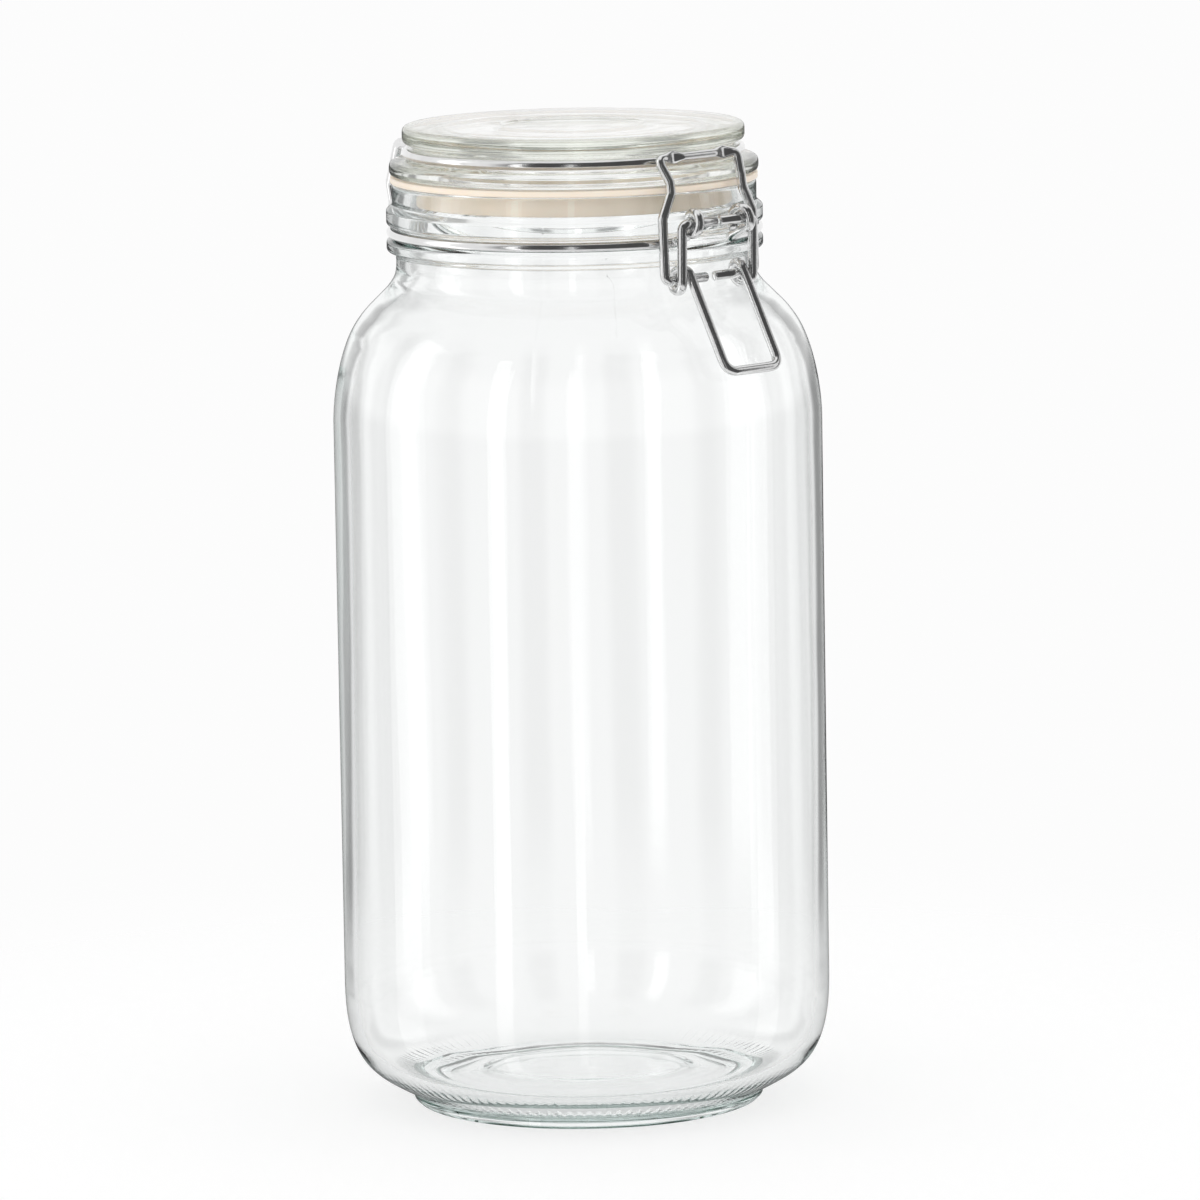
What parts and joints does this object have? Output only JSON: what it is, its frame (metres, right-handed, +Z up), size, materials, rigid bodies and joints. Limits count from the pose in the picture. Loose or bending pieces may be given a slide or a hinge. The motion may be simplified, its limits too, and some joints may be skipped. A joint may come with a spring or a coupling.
{
  "type": "lidded glass canister",
  "caption": "Clip-top glass storage jar: round jar, hinged glass lid with a sealing gasket, and a wire toggle clasp that clamps the lid shut.",
  "frame": {"origin": "on the jar's axis, in the plane the foot stands on", "axes": "+Z up the jar's axis, -Y towards the clasp, +Y towards the lid's hinge, +X to the right seen from the clasp's side towards the jar"},
  "size_m": [0.12, 0.1229, 0.242],
  "materials": {
    "jar_glass": "clear pressed soda-lime glass, faint green in the thick foot, polished",
    "lid_glass": "clear pressed glass, faint yellow-green in its thick rim, polished",
    "gasket": "pale cream, slightly see-through, satin",
    "wire_steel": "bright drawn stainless wire"
  },
  "bodies": {
    "jar": {"jar_glass": "jar_glass", "neck_wire": "wire_steel"},
    "lid": {"lid_glass": "lid_glass", "gasket": "gasket", "lid_wire": "wire_steel"},
    "lever": {"clasp_lever": "wire_steel"},
    "link": {"clasp_link": "wire_steel"}
  },
  "joints": [
    {"name": "lid_hinge", "type": "hinge", "parent": "jar", "child": "lid", "pos_m": [0, 0.05, 0.2205], "axis": [-1, 0, 0], "range_deg": [0, 180]},
    {"name": "lever_pivot", "type": "hinge", "parent": "jar", "child": "lever", "pos_m": [0, -0.05, 0.2212], "axis": [-1, 0, 0], "range_deg": [0, 125]},
    {"name": "link_pivot", "type": "hinge", "parent": "lever", "child": "link", "pos_m": [0, -0.0472, 0.2076], "axis": [-1, 0, 0], "range_deg": [-125, 0]}
  ],
  "couplings": [
    {"joint": "link_pivot", "follows": "lever_pivot", "ratio": -1}
  ]
}
